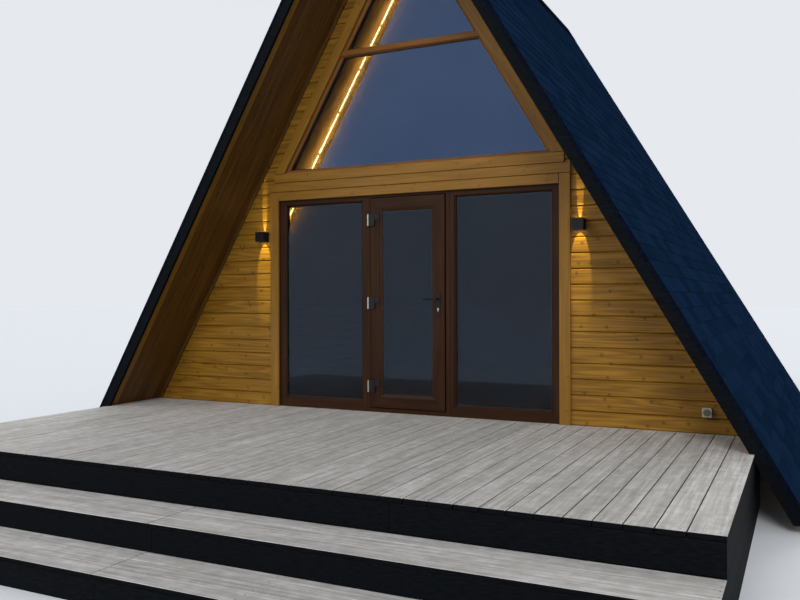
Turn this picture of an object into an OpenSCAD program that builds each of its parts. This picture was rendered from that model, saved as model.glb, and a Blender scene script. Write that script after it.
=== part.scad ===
/* [Roof] */
// Slope of both roof planes in degrees
roof_pitch = 59.4; // [57:0.1:62]
// Half width of the roof's outer surface at deck level
roof_half_w = 3162; // [2900:1:3400]
// Overhang of the roof in front of the facade
front_overhang = 778; // [500:1:900]
// Overhang of the roof behind the rear wall
rear_overhang = 300; // [150:1:500]
// Thickness of the shingles where their rows overlap
shingle_t = 6; // [4:1:10]
// Thickness of the roof boarding and its battens
panel_t = 60; // [50:1:80]
// Thickness of the soffit boards
soffit_t = 16; // [12:1:20]
// Thickness of the insulated rafters with the inner lining
lining_t = 118; // [90:1:160]
// Face width of the bargeboards
barge_w = 109; // [90:1:150]
// Thickness of the bargeboards
barge_t = 30; // [20:1:40]
// Height of the roof's foot above the ground
foot_z = 60; // [20:1:120]

/* [Cabin] */
// Length from the facade to the outer face of the rear wall
cabin_len = 5600; // [4800:1:6400]
// Thickness of the front and rear walls
wall_t = 150; // [120:1:200]
// Thickness of the floor
floor_t = 200; // [160:1:240]

/* [Entrance glazing] */
// Half width of the glazed frame that shows between its casings
entrance_half_w = 1464; // [1400:1:1500]
// Height of the glazed frame that shows under its head casing
entrance_h = 2100; // [2050:1:2150]
// Face width of the outer frame members
jamb_w = 76; // [60:1:90]
// Height of the bottom member under the fixed panes
bottom_rail_h = 104; // [80:1:120]
// Height of the top member over the fixed panes
top_rail_h = 58; // [50:1:70]
// Left edge of the door leaf, from the cabin's centre line
leaf_left = -405; // [-430:1:-380]
// Width of the door leaf
leaf_w = 780; // [740:1:820]
// Height of the door leaf's lower edge above the deck
leaf_bottom = 45; // [40:1:60]
// Height of the door leaf's upper edge above the deck
leaf_top = 2070; // [2020:1:2085]
// Face width of the mullions beside the door
mullion_w = 100; // [80:1:120]
// Face width of the door leaf's stiles and rails
stile_w = 128; // [110:1:140]
// Depth of the rebates that hold the panes
rebate_d = 12; // [8:1:16]

/* [Gable glazing] */
// Height of the top of the sill board above the deck
sill_top = 2376; // [2340:1:2400]
// Half width between the sloping casings, carried down to deck level
gable_half_w = 2797; // [2700:1:2850]
// Face width of the frame that shows inside the casings
gable_frame_w = 28; // [20:1:40]
// Height of the transom's lower edge above the deck
transom_z = 3478; // [3300:1:3600]
// Face width of the transom
transom_w = 71; // [60:1:90]

/* [Casings] */
// Face width of the casing boards
casing_w = 100; // [80:1:120]
// Face width of the casing board over the entrance
head_casing_w = 90; // [70:1:110]
// Thickness of the casing boards
casing_t = 22; // [16:1:28]

/* [Deck] */
// Height of the deck above the ground
deck_z = 530; // [480:1:600]
// Half width of the deck
deck_half_w = 3067; // [2800:1:3080]
// Depth of the deck in front of the facade
deck_depth = 2975; // [2400:1:3200]
// Thickness of the decking boards
board_t = 28; // [24:1:34]
// Thickness of the fascia and riser boards
fascia_t = 28; // [20:1:34]
// Depth of each step
tread_d = 433; // [380:1:460]
// Height of the upper step above the ground
upper_step_z = 330; // [300:1:360]
// Height of the lower step above the ground
lower_step_z = 165; // [140:1:180]

/* [Hidden] */
$fn = 32;
slope = tan(roof_pitch);
fascia_lip = 10;
front_reach = deck_depth + 2 * tread_d + fascia_lip;
rear_reach = cabin_len + rear_overhang;
facade_y = (front_reach - rear_reach) / 2;
panel_d = shingle_t + panel_t;
soffit_d = panel_d + soffit_t;
lining_d = panel_d + lining_t;
frame_hide = 16;
frame_out = entrance_half_w + frame_hide;
beam_z0 = deck_z + entrance_h + frame_hide;
beam_z1 = deck_z + sill_top;
frame_y0 = 10;
frame_y1 = 90;
stop_y = 60;
stop_w = 15;
ridge_joint = 2;
seat_gap = 0.1;
joist_h = 150;
joist_w = 50;
bearer_w = 150;
fascia_y = -deck_depth - fascia_lip;
fascia_back = fascia_y + fascia_t;
riser1_y = fascia_y - tread_d;
riser0_y = riser1_y - tread_d;
leaf_gap = 5;
latch_gap = 8;
leaf_t = 55;
glass_t = 24;
fixed_glass_y = 40;
door_glass_y = 16;
pane_play = 2;
leaf_right = leaf_left + leaf_w;
fixed_z = [deck_z + bottom_rail_h, deck_z + entrance_h - top_rail_h];
left_x = [jamb_w - entrance_half_w, leaf_left - leaf_gap - mullion_w];
right_x = [leaf_right + latch_gap + mullion_w, entrance_half_w - jamb_w];
door_x = [leaf_left + stile_w, leaf_right - stile_w];
door_z = [deck_z + leaf_bottom + stile_w, deck_z + leaf_top - stile_w];
gable_pane_w = gable_half_w - gable_frame_w / sin(roof_pitch);
gable_pane_z = beam_z1 + gable_frame_w;
transom_z0 = deck_z + transom_z;
transom_z1 = transom_z0 + transom_w;
hinge_x = leaf_left - 20;
hinge_y = -12;
hinge_h = 115;
hinge_r = 10;
hinge_joint = 0.5;
pin_r = 5;
pin_h = 50;
pin_play = 0.3;
hinge_z = [250, 1056, 1860];
spindle_x = leaf_right - 62;
spindle_z = deck_z + 1094;
spindle_r = 8;
spindle_play = 1;
plate_w = 36;
plate_h = 235;
plate_t = 8;
lever_reach = 52;
lever_len = 128;
cap_t = 4;
// How far a cutting body reaches past the face that it cuts
cut = 1;
pine = "#B9803A";
stained = "#7A4A20";
mahogany = "#3A1C14";
anthracite = "#1E2630";
black_paint = "#121417";
pane_tint = [0.35, 0.42, 0.5, 0.5];

// Half width at height z of the plane that lies d below the roof's outer surface
function roof_x(d, z) = roof_half_w - d / sin(roof_pitch) - (z - deck_z) / slope;
// Height on the centre line of that plane
function roof_top(d) = deck_z + (roof_half_w - d / sin(roof_pitch)) * slope;
// Half width at height z of a gable line given by its half width at deck level
function gable_x(w, z) = w - (z - deck_z) / slope;
function gable_top(w) = deck_z + w * slope;
// Outlines of the gable's two panes, grown by g on every side
function lower_pane(g) =
    let (w = gable_pane_w + g / sin(roof_pitch), z0 = gable_pane_z - g, z1 = transom_z0 + g)
    [[-gable_x(w, z0), z0], [gable_x(w, z0), z0], [gable_x(w, z1), z1], [-gable_x(w, z1), z1]];
function upper_pane(g) =
    let (w = gable_pane_w + g / sin(roof_pitch), z0 = transom_z1 - g)
    [[-gable_x(w, z0), z0], [gable_x(w, z0), z0], [0, gable_top(w)]];

// Moves the cabin so that the middle of its whole length is at the origin
module placed() {
    translate([0, facade_y, 0]) children();
}

// Outline in X and Z carried from y0 to y1
module prism(points, y0, y1) {
    translate([0, y1, 0]) rotate([90, 0, 0]) linear_extrude(y1 - y0) polygon(points);
}

module block(x0, x1, y0, y1, z0, z1) {
    translate([x0, y0, z0]) cube([x1 - x0, y1 - y0, z1 - z0]);
}

// Rectangle with round corners, about the origin
module rounded(w, h, r) {
    square([w - 2 * r, h], center = true);
    square([w, h - 2 * r], center = true);
    for (x = [-1, 1], z = [-1, 1]) translate([x * (w / 2 - r), z * (h / 2 - r)]) circle(r);
}

// Opening from y0 to y1 with a rebate round it, which holds a pane at glass_y
module pane_seat(x, z, glass_y, y0, y1) {
    block(x[0], x[1], y0 - cut, y1 + cut, z[0], z[1]);
    block(x[0] - rebate_d, x[1] + rebate_d, glass_y, glass_y + glass_t, z[0] - rebate_d, z[1] + rebate_d);
}

// Pane that reaches into its rebate and stays clear of the rebate's bottom
module pane(x, z, glass_y) {
    grip = rebate_d - pane_play;
    placed() color(pane_tint)
        block(x[0] - grip, x[1] + grip, glass_y, glass_y + glass_t, z[0] - grip, z[1] + grip);
}

// Right or left half of a body drawn on the right
module side(s) {
    if (s > 0) children();
    else mirror([1, 0, 0]) children();
}

// Layer of the roof between the depths d0 and d1, from its foot to the ridge
module roof_layer(d0, d1, y0, y1, z0) {
    prism([[roof_x(d1, z0), z0], [roof_x(d0, z0), z0], [0, roof_top(d0)], [0, roof_top(d1)]], y0, y1);
}

// Board that follows the gable between two lines, from height z0 to the centre line
module gable_strip(w0, w1, y0, y1, z0) {
    prism([[gable_x(w0, z0), z0], [gable_x(w1, z0), z0], [0, gable_top(w1)], [0, gable_top(w0)]], y0, y1);
}

// Concrete piers under the cabin and timber posts under the deck
module piers() {
    pier_w = 400;
    post_w = 100;
    pier_h = deck_z - floor_t - bearer_w;
    post_h = deck_z - board_t - joist_h;
    placed() color("#8C8C88") {
        for (x = [-2400, 0, 2400], y = [300, 1900, 3500, 5100])
            block(x - pier_w / 2, x + pier_w / 2, y - pier_w / 2, y + pier_w / 2, 0, pier_h);
        for (x = [-2700, -900, 900, 2700], y = [fascia_back, -1750, -550])
            block(x - post_w / 2, x + post_w / 2, y, y + post_w, 0, post_h);
    }
}

module floor_bearers() {
    top = deck_z - floor_t;
    placed() color(stained) for (x = [-2400, 0, 2400])
        block(x - bearer_w / 2, x + bearer_w / 2, 100, cabin_len - 100, top - bearer_w, top);
}

module cabin_floor() {
    z0 = deck_z - floor_t;
    half0 = roof_x(panel_d, z0);
    half1 = roof_x(panel_d, deck_z);
    placed() color(stained)
        prism([[-half0, z0], [half0, z0], [half1, deck_z], [-half1, deck_z]], 0, cabin_len);
}

module roof_panel(s) {
    placed() color(stained) side(s)
        roof_layer(shingle_t, panel_d, barge_t - front_overhang, rear_reach - barge_t, foot_z);
}
module left_roof_panel() { roof_panel(-1); }
module right_roof_panel() { roof_panel(1); }

module lining(s) {
    placed() color(pine) side(s) roof_layer(panel_d, lining_d, wall_t, cabin_len - wall_t, deck_z);
}
module left_lining() { lining(-1); }
module right_lining() { lining(1); }

module roof_shingles(s) {
    placed() color(anthracite) side(s) roof_layer(0, shingle_t, -front_overhang, rear_reach, foot_z);
}
module left_roof_shingles() { roof_shingles(-1); }
module right_roof_shingles() { roof_shingles(1); }

module ridge_cap() {
    wing = 130;
    top = roof_top(-cap_t);
    foot = top - wing * slope;
    inner = roof_top(-seat_gap);
    placed() color(anthracite)
        prism([[-wing, foot], [0, top], [wing, foot], [wing, inner - wing * slope],
               [0, inner], [-wing, inner - wing * slope]], -front_overhang, rear_reach);
}

// Board along the verge, cut to clear the deck
module front_bargeboard(s) {
    y0 = -front_overhang;
    placed() color(black_paint) side(s) difference() {
        roof_layer(shingle_t, barge_w, y0, y0 + barge_t, foot_z);
        block(0, deck_half_w, y0 - cut, y0 + barge_t + cut, 0, deck_z);
    }
}
module left_front_bargeboard() { front_bargeboard(-1); }
module right_front_bargeboard() { front_bargeboard(1); }

module rear_bargeboards() {
    y0 = rear_reach - barge_t;
    placed() color(black_paint) for (s = [-1, 1]) side(s) difference() {
        roof_layer(shingle_t, barge_w, y0, y0 + barge_t, foot_z);
        block(-cut, ridge_joint / 2, y0 - cut, y0 + barge_t + cut, 0, roof_top(0));
    }
}

// Boards under each overhang, with a batten where they meet the wall
module soffit(s) {
    batten_w = 22;
    batten_d = soffit_d + 30;
    placed() color(pine) side(s) {
        roof_layer(panel_d, soffit_d, barge_t - front_overhang, 0, deck_z);
        roof_layer(soffit_d, batten_d, -batten_w, 0, deck_z);
        roof_layer(panel_d, soffit_d, cabin_len, rear_reach - barge_t, deck_z);
        roof_layer(soffit_d, batten_d, cabin_len, cabin_len + batten_w, deck_z);
    }
}
module left_soffit() { soffit(-1); }
module right_soffit() { soffit(1); }

module front_wall(s) {
    reach = panel_d + seat_gap;
    placed() color(stained) side(s)
        prism([[frame_out, deck_z], [roof_x(reach, deck_z), deck_z],
               [roof_x(reach, beam_z1), beam_z1], [frame_out, beam_z1]], 0, wall_t);
}
module front_wall_left() { front_wall(-1); }
module front_wall_right() { front_wall(1); }

module front_wall_beam() {
    placed() color(stained) block(-frame_out, frame_out, 0, wall_t, beam_z0, beam_z1);
}

module gable_band(s) {
    placed() color(stained) side(s)
        gable_strip(gable_half_w + frame_hide, roof_x(panel_d + seat_gap, deck_z), 0, wall_t, beam_z1);
}
module gable_band_left() { gable_band(-1); }
module gable_band_right() { gable_band(1); }

module rear_wall() {
    half = roof_x(panel_d, deck_z);
    placed() color(stained)
        prism([[-half, deck_z], [half, deck_z], [0, roof_top(panel_d)]], cabin_len - wall_t, cabin_len);
}

module door_opening(inset, y0, y1) {
    block(leaf_left - leaf_gap + inset, leaf_right + latch_gap - inset, y0, y1,
          deck_z + leaf_bottom - leaf_gap + inset, deck_z + leaf_top + leaf_gap - inset);
}

// Frame of the whole entrance: two rebated openings, and between them the door's with a stop behind it
module entrance_frame() {
    placed() color(mahogany) difference() {
        block(-frame_out, frame_out, frame_y0, frame_y1, deck_z, beam_z0);
        pane_seat(left_x, fixed_z, fixed_glass_y, frame_y0, frame_y1);
        pane_seat(right_x, fixed_z, fixed_glass_y, frame_y0, frame_y1);
        door_opening(0, frame_y0 - cut, stop_y);
        door_opening(stop_w, stop_y - cut, frame_y1 + cut);
    }
}

module entrance_casing() {
    z0 = deck_z + entrance_h;
    z1 = z0 + head_casing_w;
    placed() color(pine) {
        for (s = [-1, 1]) side(s)
            block(entrance_half_w, entrance_half_w + casing_w, -casing_t, 0, deck_z, z1);
        block(-entrance_half_w, entrance_half_w, -casing_t, 0, z0, z1);
    }
}

module beam_boards() {
    joint = 2;
    z0 = deck_z + entrance_h + head_casing_w;
    z1 = (z0 + beam_z1) / 2;
    wide = entrance_half_w + casing_w;
    narrow = gable_x(gable_half_w, beam_z1) + casing_w / sin(roof_pitch);
    placed() color(pine) {
        block(-wide, wide, -casing_t, 0, z0, z1 - joint / 2);
        block(-narrow, narrow, -casing_t, 0, z1 + joint / 2, beam_z1);
    }
}

module gable_casing(s) {
    placed() color(pine) side(s)
        gable_strip(gable_half_w, gable_half_w + casing_w / sin(roof_pitch), -casing_t, 0, beam_z1);
}
module gable_casing_left() { gable_casing(-1); }
module gable_casing_right() { gable_casing(1); }

module left_window_glass() { pane(left_x, fixed_z, fixed_glass_y); }
module right_window_glass() { pane(right_x, fixed_z, fixed_glass_y); }

// Lower half of each hinge, with its pin, on a strap that reaches back to the frame
module frame_hinges() {
    strap_x = 8;
    half_h = hinge_h / 2 - hinge_joint;
    placed() color("#16181A") for (z = hinge_z) translate([hinge_x, hinge_y, deck_z + z]) {
        translate([0, 0, -hinge_h / 2]) cylinder(r = hinge_r, h = half_h);
        translate([0, 0, -hinge_h / 4]) cylinder(r = pin_r, h = pin_h + hinge_h / 4);
        translate([-hinge_r, 0, -hinge_h / 2]) cube([hinge_r + strap_x, frame_y0 - hinge_y, half_h]);
    }
}

module door_leaf() {
    placed() color(mahogany) difference() {
        block(leaf_left, leaf_right, 0, leaf_t, deck_z + leaf_bottom, deck_z + leaf_top);
        pane_seat(door_x, door_z, door_glass_y, 0, leaf_t);
        translate([spindle_x, -cut, spindle_z]) rotate([-90, 0, 0])
            cylinder(r = spindle_r + spindle_play, h = leaf_t + 2 * cut);
    }
}

module door_glass() { pane(door_x, door_z, door_glass_y); }

// Upper half of each hinge, bored for the pin, with the cover and the flag that hold it to the leaf
module door_hinges() {
    cover_x = 13;
    cover_y = -5;
    cover_w = 58;
    flag_w = 112;
    depth = -hinge_y - cover_y;
    half_h = hinge_h / 2 - hinge_joint;
    bore_h = pin_h + 2;
    placed() color("#16181A") for (z = hinge_z) translate([hinge_x, hinge_y, deck_z + z])
        difference() {
            union() {
                translate([0, 0, hinge_joint]) cylinder(r = hinge_r, h = half_h);
                translate([0, cover_y, hinge_joint]) cube([cover_x + cut, -2 * cover_y, half_h]);
                translate([cover_x, cover_y, -hinge_h / 2]) cube([cover_w, depth, hinge_h]);
                translate([cover_x, cover_y, hinge_joint]) cube([flag_w, depth, half_h]);
            }
            translate([0, 0, -cut]) cylinder(r = pin_r + pin_play, h = bore_h + cut);
        }
}

module handle_plate(y0) {
    corner = 6;
    over = 75;
    translate([spindle_x, y0 + plate_t, spindle_z]) rotate([90, 0, 0]) linear_extrude(plate_t)
        difference() {
            translate([0, over - plate_h / 2]) rounded(plate_w, plate_h, corner);
            circle(r = spindle_r + spindle_play);
        }
}

module door_handle_plate() {
    lock_z = spindle_z - 92;
    lock_r = 8.5;
    lock_t = 6;
    placed() color("#16181A") {
        handle_plate(-plate_t);
        handle_plate(leaf_t);
        for (y = [-plate_t - lock_t, leaf_t + plate_t])
            translate([spindle_x, y, lock_z]) rotate([-90, 0, 0]) cylinder(r = lock_r, h = lock_t);
    }
}

// Neck out from the leaf's face, a quarter bend, and a round grip with a ball end
module lever_grip() {
    bend = 14;
    reach = plate_t + lever_reach;
    translate([0, bend - reach, 0]) rotate([-90, 0, 0]) cylinder(r = spindle_r, h = reach - bend);
    translate([-bend, bend - reach, 0]) rotate([0, 0, -90]) rotate_extrude(angle = 90)
        translate([bend, 0]) circle(r = spindle_r);
    translate([-lever_len, -reach, 0]) rotate([0, 90, 0]) cylinder(r = spindle_r, h = lever_len - bend);
    translate([-lever_len, -reach, 0]) sphere(r = spindle_r);
}

module door_lever() {
    placed() color("#16181A") translate([spindle_x, 0, spindle_z]) {
        rotate([-90, 0, 0]) cylinder(r = spindle_r, h = leaf_t);
        lever_grip();
        translate([0, leaf_t, 0]) mirror([0, 1, 0]) lever_grip();
    }
}

module gable_window_frame() {
    outer = gable_half_w + frame_hide;
    outline = [[-gable_x(outer, beam_z1), beam_z1], [gable_x(outer, beam_z1), beam_z1],
               [0, gable_top(outer)]];
    placed() color(pine) difference() {
        prism(outline, frame_y0, frame_y1);
        for (opening = [lower_pane(0), upper_pane(0)]) prism(opening, frame_y0 - cut, frame_y1 + cut);
        for (seat = [lower_pane(rebate_d), upper_pane(rebate_d)])
            prism(seat, fixed_glass_y, fixed_glass_y + glass_t);
    }
}

module gable_window_glass() {
    grip = rebate_d - pane_play;
    placed() color(pane_tint) for (outline = [lower_pane(grip), upper_pane(grip)])
        prism(outline, fixed_glass_y, fixed_glass_y + glass_t);
}

// Cube lights that shine up and down the wall
module wall_lights() {
    size = 100;
    rim = 6;
    recess = 12;
    x = 1645;
    z = deck_z + 1735;
    placed() color(black_paint) for (s = [-1, 1]) side(s) difference() {
        block(x - size / 2, x + size / 2, -size, 0, z - size / 2, z + size / 2);
        for (end = [-1, 1]) translate([x, -size / 2, z + end * size / 2])
            cube([size - 2 * rim, size - 2 * rim, 2 * recess], center = true);
    }
}

// Socket box with round corners and a round hinged lid that has a finger grip
module outdoor_socket() {
    size = 76;
    corner = 9;
    box_t = 40;
    lid_t = 6;
    lid_r = 29;
    grip_w = 26;
    grip_h = 8;
    grip_corner = 2;
    x = 2676;
    z = deck_z + 177;
    placed() color("#B8B2A4") translate([x, 0, z]) rotate([90, 0, 0]) {
        linear_extrude(box_t) rounded(size, size, corner);
        linear_extrude(box_t + lid_t) difference() {
            circle(lid_r);
            translate([0, -lid_r / 2]) rounded(grip_w, grip_h, grip_corner);
        }
    }
}

module led_strip() {
    strip_w = 16;
    strip_t = 10;
    y = 608;
    placed() color("#FFE9B0") side(-1)
        roof_layer(lining_d, lining_d + strip_t, y, y + strip_w, deck_z + 1700);
}

module deck_boards() {
    placed() color("#8A7B66")
        block(-deck_half_w, deck_half_w, -deck_depth, 0, deck_z - board_t, deck_z);
}

module deck_joists() {
    top = deck_z - board_t;
    inside = deck_half_w - fascia_t;
    placed() color(stained) for (y = [fascia_back, -2350, -1750, -1150, -550, -joist_w])
        block(-inside, inside, y, y + joist_w, top - joist_h, top);
}

// Black boards round the deck and under the rear wall
module base_fascia() {
    joint = 1;
    top = deck_z - board_t;
    skirt_z = deck_z - floor_t;
    placed() color(black_paint) {
        block(-deck_half_w, deck_half_w, fascia_y, fascia_back, 0, top);
        for (s = [-1, 1]) side(s)
            block(deck_half_w - fascia_t, deck_half_w, fascia_back + joint, 0, 0, top);
        prism([[-roof_x(panel_d, foot_z), foot_z], [roof_x(panel_d, foot_z), foot_z],
               [roof_x(panel_d, skirt_z), skirt_z], [-roof_x(panel_d, skirt_z), skirt_z]],
              cabin_len - fascia_t, cabin_len);
    }
}

module step_board(y0, y1, top) {
    block(-deck_half_w, deck_half_w, y0 + fascia_lip, y1, top - board_t, top);
}

module step_boards() {
    placed() color("#8A7B66") {
        step_board(riser1_y, fascia_y, upper_step_z);
        step_board(riser0_y, riser1_y, lower_step_z);
    }
}

module step_risers() {
    placed() color(black_paint) {
        block(-deck_half_w, deck_half_w, riser1_y, riser1_y + fascia_t, 0, upper_step_z - board_t);
        block(-deck_half_w, deck_half_w, riser0_y, riser0_y + fascia_t, 0, lower_step_z - board_t);
    }
}

// Cheek boards and inner bearers that carry the step boards
module step_bearers() {
    placed() color(black_paint)
        for (x = [-deck_half_w, -900, 900 - fascia_t, deck_half_w - fascia_t]) {
            block(x, x + fascia_t, riser1_y + fascia_t, fascia_y, 0, upper_step_z - board_t);
            block(x, x + fascia_t, riser0_y + fascia_t, riser1_y, 0, lower_step_z - board_t);
        }
}

piers();
floor_bearers();
cabin_floor();
left_roof_panel();
right_roof_panel();
left_lining();
right_lining();
left_roof_shingles();
right_roof_shingles();
ridge_cap();
left_front_bargeboard();
right_front_bargeboard();
rear_bargeboards();
left_soffit();
right_soffit();
front_wall_left();
front_wall_right();
front_wall_beam();
gable_band_left();
gable_band_right();
rear_wall();
entrance_frame();
entrance_casing();
beam_boards();
gable_casing_left();
gable_casing_right();
left_window_glass();
right_window_glass();
frame_hinges();
door_leaf();
door_glass();
door_hinges();
door_handle_plate();
door_lever();
gable_window_frame();
gable_window_glass();
wall_lights();
outdoor_socket();
led_strip();
deck_boards();
deck_joists();
base_fascia();
step_boards();
step_risers();
step_bearers();
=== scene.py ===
"""Looks of a small a-frame cabin: stained pine boards, a glazed gable and entrance, and a stepped deck."""
import math
from collections import namedtuple

import bpy
import numpy as np
from mathutils import Matrix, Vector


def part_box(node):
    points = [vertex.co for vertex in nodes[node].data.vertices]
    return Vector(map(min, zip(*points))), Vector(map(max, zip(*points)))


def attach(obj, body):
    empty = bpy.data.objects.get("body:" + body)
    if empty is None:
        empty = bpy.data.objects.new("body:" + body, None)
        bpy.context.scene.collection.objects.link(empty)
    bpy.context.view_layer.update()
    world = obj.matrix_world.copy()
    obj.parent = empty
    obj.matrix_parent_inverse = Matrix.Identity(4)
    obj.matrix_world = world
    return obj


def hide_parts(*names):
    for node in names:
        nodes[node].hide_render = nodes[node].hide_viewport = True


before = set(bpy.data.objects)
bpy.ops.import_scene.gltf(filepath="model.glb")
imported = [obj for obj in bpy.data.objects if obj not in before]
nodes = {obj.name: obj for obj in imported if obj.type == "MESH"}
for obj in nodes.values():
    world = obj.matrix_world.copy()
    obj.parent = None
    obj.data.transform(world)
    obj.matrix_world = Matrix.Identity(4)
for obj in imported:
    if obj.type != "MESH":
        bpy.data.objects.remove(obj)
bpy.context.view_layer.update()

X, Y, Z = np.eye(3)


def low(name):
    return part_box(name)[0]


def high(name):
    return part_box(name)[1]


# Places read from the frame, in metres
FACADE = low("front_wall_beam").y
WALL_T = high("front_wall_beam").y - FACADE
REAR = high("rear_wall").y
DECK = high("deck_boards").z
DECK_X = high("deck_boards").x
DECK_FRONT = low("deck_boards").y
VERGE0 = low("right_roof_shingles").y
VERGE1 = high("right_roof_shingles").y
FOOT_X = high("right_roof_shingles").x
FOOT_Z = low("right_roof_shingles").z
RIDGE_Z = high("right_roof_shingles").z
SLOPE = (RIDGE_Z - FOOT_Z) / FOOT_X
PITCH = math.atan(SLOPE)
SIN, COS = math.sin(PITCH), math.cos(PITCH)
SLOPE_LENGTH = (RIDGE_Z - FOOT_Z) / SIN
UP = np.array([-COS, 0, SIN])
OUT = np.array([SIN, 0, COS])
FOOT = np.array([FOOT_X, 0, FOOT_Z])
SILL = high("front_wall_beam").z
HEAD = low("front_wall_beam").z
FRAME_X = high("entrance_frame").x

# Depths below the roof's outer surface, and other sizes of the boards, in metres
PANEL_D = 0.066
SOFFIT_D = 0.082
LINING_D = 0.184
BARGE_T = 0.030
CASING_W = 0.100
CASING_T = 0.022
CLADDING_T = 0.020
LINING_T = 0.014
COURSE = 0.1365
FIRST_COURSE = 0.128
FRAME_HIDE = 0.016
GABLE_FRAME_W = 0.028
TRANSOM = (3.478, 3.549)
CASING_IN_X = FRAME_X - FRAME_HIDE
GABLE_W = high("gable_casing_right").x + (SILL - DECK) / SLOPE - CASING_W / SIN

# Depths behind the facade of the frames and of the insulating glass, in metres
FRAME_FRONT = 0.010
FRAME_BACK = 0.090
FIXED_GLASS = (0.040, 0.064)
DOOR_GLASS = (0.016, 0.040)
SHEET_T = 0.004
REBATE = 0.012
PANE_GRIP = 0.010


def roof_half(depth, z):
    """Half width at height z of the plane that lies depth below the roof's outer surface."""
    return FOOT_X - depth / SIN - (z - FOOT_Z) / SLOPE


def gable_half(width, z):
    """Half width at height z of a gable line that is width from the centre line at deck level."""
    return width - (z - DECK) / SLOPE


def level_cut(depth, z):
    """Distance up the slope, from its foot, at which that plane reaches the height z."""
    return (z - FOOT_Z + depth * COS) / SIN


def ridge_cut(depth):
    """Distance up the slope, from its foot, at which that plane meets the centre plane."""
    return SLOPE_LENGTH - depth * SLOPE


def apex(depth):
    """Height at which that plane meets the centre plane."""
    return RIDGE_Z - depth / COS


# Camera at the photograph's place, from a fit of straight edges: pixels of an 800 pixel wide image
IMAGE_W = 800
FOCAL_PX = 828.15
SENSOR_W = 36
CAMERA_AT = (3.4018, -8.1127, 1.6474)
YAW, TILT, ROLL = (math.radians(a) for a in (26.202, -0.234, -0.156))


def linked(name, data):
    """New object in the scene."""
    made = bpy.data.objects.new(name, data)
    bpy.context.scene.collection.objects.link(made)
    return made


def make_camera():
    """A camera that looks down is turned by the yaw, tipped up by 90 degrees and the tilt, and rolled."""
    view = Matrix.Translation(CAMERA_AT)
    for angle, axis in ((YAW, "Z"), (math.pi / 2 + TILT, "X"), (ROLL, "Z")):
        view @= Matrix.Rotation(angle, 4, axis)
    data = bpy.data.cameras.new("camera")
    data.sensor_width = SENSOR_W
    data.lens = SENSOR_W * FOCAL_PX / IMAGE_W
    data.clip_end = 500
    camera = linked("camera", data)
    camera.matrix_world = view
    bpy.context.scene.camera = camera


make_camera()

# A part of a mesh: its points, faces, grain coordinates, a tone from 0 to 1, and a material number per face
Part = namedtuple("Part", "points faces grain tone mats")


def prisms(local, points, seed=1, side_mats=0, cap_mats=0):
    """Part made of closed bodies, each through outlines of one number of corners. local and points have the
    shape (body, outline, corner, 3), and each body gets its own place in the grain and its own tone. The
    faces are turned over where the first outline's area vector, the sum of its corners' cross products,
    points against the bodies' length."""
    count, levels, k, _ = points.shape
    random = np.random.default_rng(seed)
    grain = local + random.uniform(0, 60, (count, 1, 1, 3))
    tone = np.repeat(random.uniform(0, 1, count), levels * k)
    j = np.arange(k)
    quad = np.stack([j, (j + 1) % k, (j + 1) % k + k, j + k], 1)
    first = np.arange(count)[:, None, None] * levels * k
    sides = (first[..., None] + np.arange(levels - 1)[:, None, None] * k + quad).reshape(-1, 4)
    caps = (first + np.stack([j[::-1], j + (levels - 1) * k])).reshape(-1, k)
    area = np.cross(points[:, 0], np.roll(points[:, 0], -1, 1)).sum(1)
    length = (points[:, -1] - points[:, 0]).mean(1)
    if (area * length).sum() < 0:
        sides, caps = sides[:, ::-1], caps[:, ::-1]
    mats = np.append(np.broadcast_to(side_mats, (count, levels - 1, k)), np.full(2 * count, cap_mats))
    return Part(points.reshape(-1, 3), sides.tolist() + caps.tolist(), grain.reshape(-1, 3), tone, mats)


def bars(profile, place, start, end, along, across, out, origin=(0, 0, 0), seed=1, side_mats=0, cap_mats=0):
    """Straight boards with one cross-section. A point of board i is origin + along * t + across * (place_i +
    a) + out * b, where (a, b) is a profile point and t is start or end, or what they give for it."""
    profile = np.asarray(profile, float)
    a = np.reshape(place, (-1, 1)) + profile[:, 0]
    b = np.broadcast_to(profile[:, 1], a.shape)
    t = [limit(a, b) if callable(limit) else np.broadcast_to(limit, a.shape) for limit in (start, end)]
    local = np.stack([np.stack([v, a, b], -1) for v in t], 1)
    points = np.asarray(origin) + local @ np.stack([along, across, out])
    return prisms(local, points, seed, side_mats, cap_mats)


def edges_of(outline):
    """Unit vectors along an outline's edges, and their normals to the left, which is inwards."""
    edge = np.roll(outline, -1, 0) - outline
    edge /= np.linalg.norm(edge, axis=1, keepdims=True)
    return edge, np.stack([-edge[:, 1], edge[:, 0]], 1)


def mitres(outline):
    """Mitre vector at each corner: the sum of both edges' inward normals over one plus their dot product."""
    inward = edges_of(outline)[1]
    before = np.roll(inward, 1, 0)
    return (before + inward) / (1 + (before * inward).sum(1, keepdims=True))


def shrunk(outline, by):
    """Outline with every edge moved inwards."""
    return outline + by * mitres(outline)


def ring(outer, inner, profile, y, seed=1, mats=0):
    """Mitred members between two outlines in X and Z. A profile point is (side, p, q): side 0 starts at the
    outer outline's corner and side 1 at the inner one's, which moves by p times its mitre vector, at the
    depth y + q."""
    profile = np.asarray(profile, float)
    side = profile[:, 0].astype(int)
    shift = profile[:, 1, None, None] * np.stack([mitres(outer), mitres(inner)])[side]
    corner = (np.stack([outer, inner])[side] + shift).transpose(1, 0, 2)
    flat = np.stack([corner, np.roll(corner, -1, 0)], 1)
    depth = np.broadcast_to(y + profile[:, 2], flat.shape[:3])
    points = np.stack([flat[..., 0], depth, flat[..., 1]], -1)
    rel = flat - outer[:, None, None]
    local = [(rel * axis[:, None, None]).sum(-1) for axis in edges_of(outer)] + [depth]
    return prisms(np.stack(local, -1), points, seed, mats, mats)


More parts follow.
